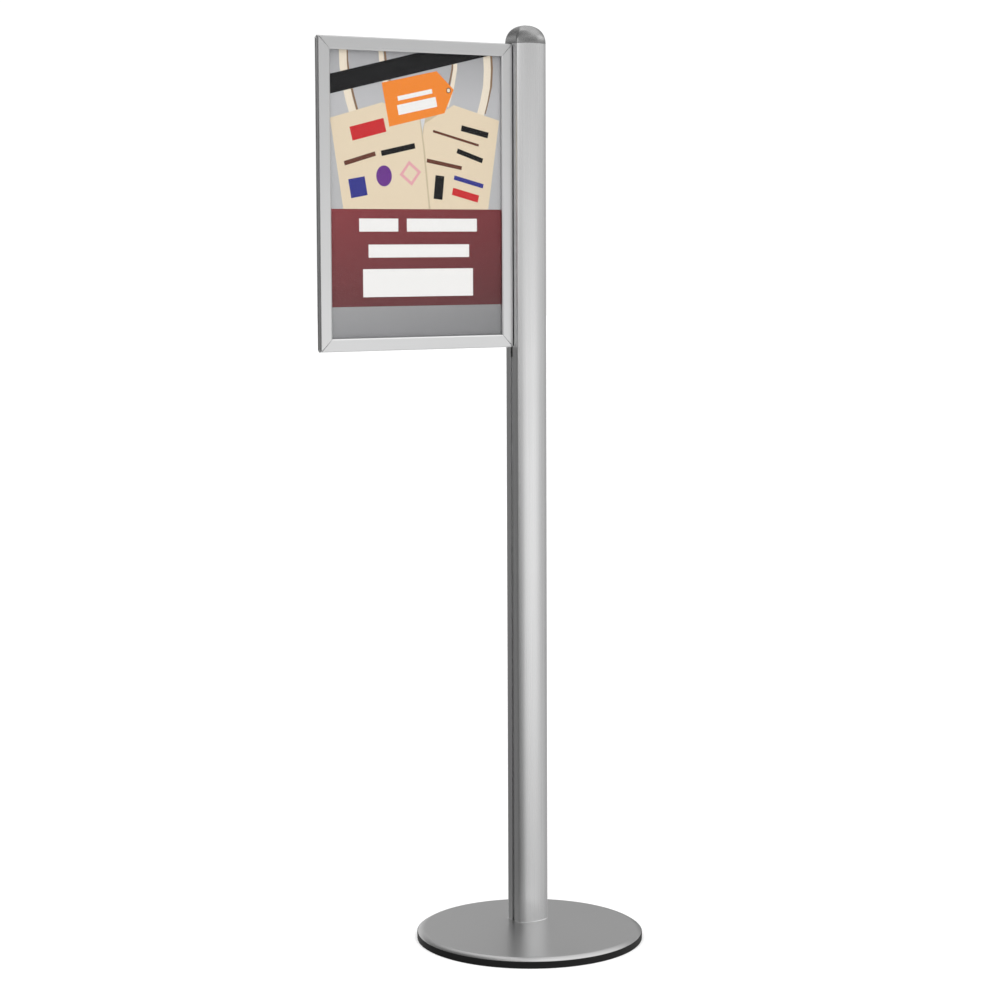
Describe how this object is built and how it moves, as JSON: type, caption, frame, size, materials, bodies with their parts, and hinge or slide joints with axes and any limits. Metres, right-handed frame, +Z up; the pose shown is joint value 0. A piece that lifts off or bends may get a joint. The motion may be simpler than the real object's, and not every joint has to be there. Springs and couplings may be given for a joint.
{
  "type": "sign stand",
  "caption": "Free-standing sign stand: round weighted base, slotted oval post with a domed cap, and a double-sided portrait snap frame hung on one side of the post.",
  "frame": {"origin": "middle of the base's underside, on the floor", "axes": "+Z up; the sign faces -Y and +Y, and hangs on the post's -X side"},
  "size_m": [0.689, 0.472, 1.9],
  "materials": {
    "rubber": "matt black",
    "ballast_steel": "matt primer",
    "base_cover": "satin silver",
    "fastener_steel": "zinc plated",
    "post_aluminium": "satin silver anodised",
    "plug_plastic": "moulded black",
    "cap_satin": "darker satin grey",
    "frame_aluminium": "satin silver anodised",
    "black_steel": "blackened",
    "panel_plastic": "white rigid foam board",
    "poster_print": null,
    "clear_sheet": "clear anti-glare plastic sheet",
    "spring_steel": "bright spring steel"
  },
  "bodies": {
    "stand": {"rim_ring": "rubber", "base_plate": "ballast_steel", "base_cover": "base_cover", "floor_pads": "rubber", "base_bolts": "fastener_steel", "base_washers": "fastener_steel", "post": "post_aluminium", "cap_plug": "plug_plastic", "cap": "cap_satin"},
    "sign_frame": {"core_top": "frame_aluminium", "core_bottom": "frame_aluminium", "core_left": "frame_aluminium", "core_right": "frame_aluminium", "corner_keys": "fastener_steel", "key_screws": "fastener_steel", "mount_brackets": "fastener_steel", "bracket_screws": "fastener_steel", "stop_nut": "black_steel", "stop_screw": "black_steel", "backing_panel": "panel_plastic", "poster_front": "poster_print", "poster_back": "poster_print", "cover_front": "clear_sheet", "cover_back": "clear_sheet", "springs_front": "spring_steel", "springs_back": "spring_steel"},
    "front_rail_top": {"front_rail_top": "frame_aluminium"},
    "front_rail_bottom": {"front_rail_bottom": "frame_aluminium"},
    "front_rail_left": {"front_rail_left": "frame_aluminium"},
    "front_rail_right": {"front_rail_right": "frame_aluminium"},
    "back_rail_top": {"back_rail_top": "frame_aluminium"},
    "back_rail_bottom": {"back_rail_bottom": "frame_aluminium"},
    "back_rail_left": {"back_rail_left": "frame_aluminium"},
    "back_rail_right": {"back_rail_right": "frame_aluminium"}
  },
  "joints": [
    {"name": "frame_height", "type": "slide", "parent": "stand", "child": "sign_frame", "axis": [0, 0, 1], "range_m": [-1.15, 0]},
    {"name": "front_rail_top_hinge", "type": "hinge", "parent": "sign_frame", "child": "front_rail_top", "pos_m": [-0.228, 0.0543, 1.858], "axis": [-1, 0, 0], "range_deg": [0, 90]},
    {"name": "front_rail_bottom_hinge", "type": "hinge", "parent": "sign_frame", "child": "front_rail_bottom", "pos_m": [-0.228, 0.0543, 1.24], "axis": [1, 0, 0], "range_deg": [0, 90]},
    {"name": "front_rail_left_hinge", "type": "hinge", "parent": "sign_frame", "child": "front_rail_left", "pos_m": [-0.45, 0.0543, 1.549], "axis": [0, 0, -1], "range_deg": [0, 90]},
    {"name": "front_rail_right_hinge", "type": "hinge", "parent": "sign_frame", "child": "front_rail_right", "pos_m": [-0.006, 0.0543, 1.549], "axis": [0, 0, 1], "range_deg": [0, 90]},
    {"name": "back_rail_top_hinge", "type": "hinge", "parent": "sign_frame", "child": "back_rail_top", "pos_m": [-0.228, 0.0657, 1.858], "axis": [1, 0, 0], "range_deg": [0, 90]},
    {"name": "back_rail_bottom_hinge", "type": "hinge", "parent": "sign_frame", "child": "back_rail_bottom", "pos_m": [-0.228, 0.0657, 1.24], "axis": [-1, 0, 0], "range_deg": [0, 90]},
    {"name": "back_rail_left_hinge", "type": "hinge", "parent": "sign_frame", "child": "back_rail_left", "pos_m": [-0.45, 0.0657, 1.549], "axis": [0, 0, 1], "range_deg": [0, 90]},
    {"name": "back_rail_right_hinge", "type": "hinge", "parent": "sign_frame", "child": "back_rail_right", "pos_m": [-0.006, 0.0657, 1.549], "axis": [0, 0, -1], "range_deg": [0, 90]}
  ]
}
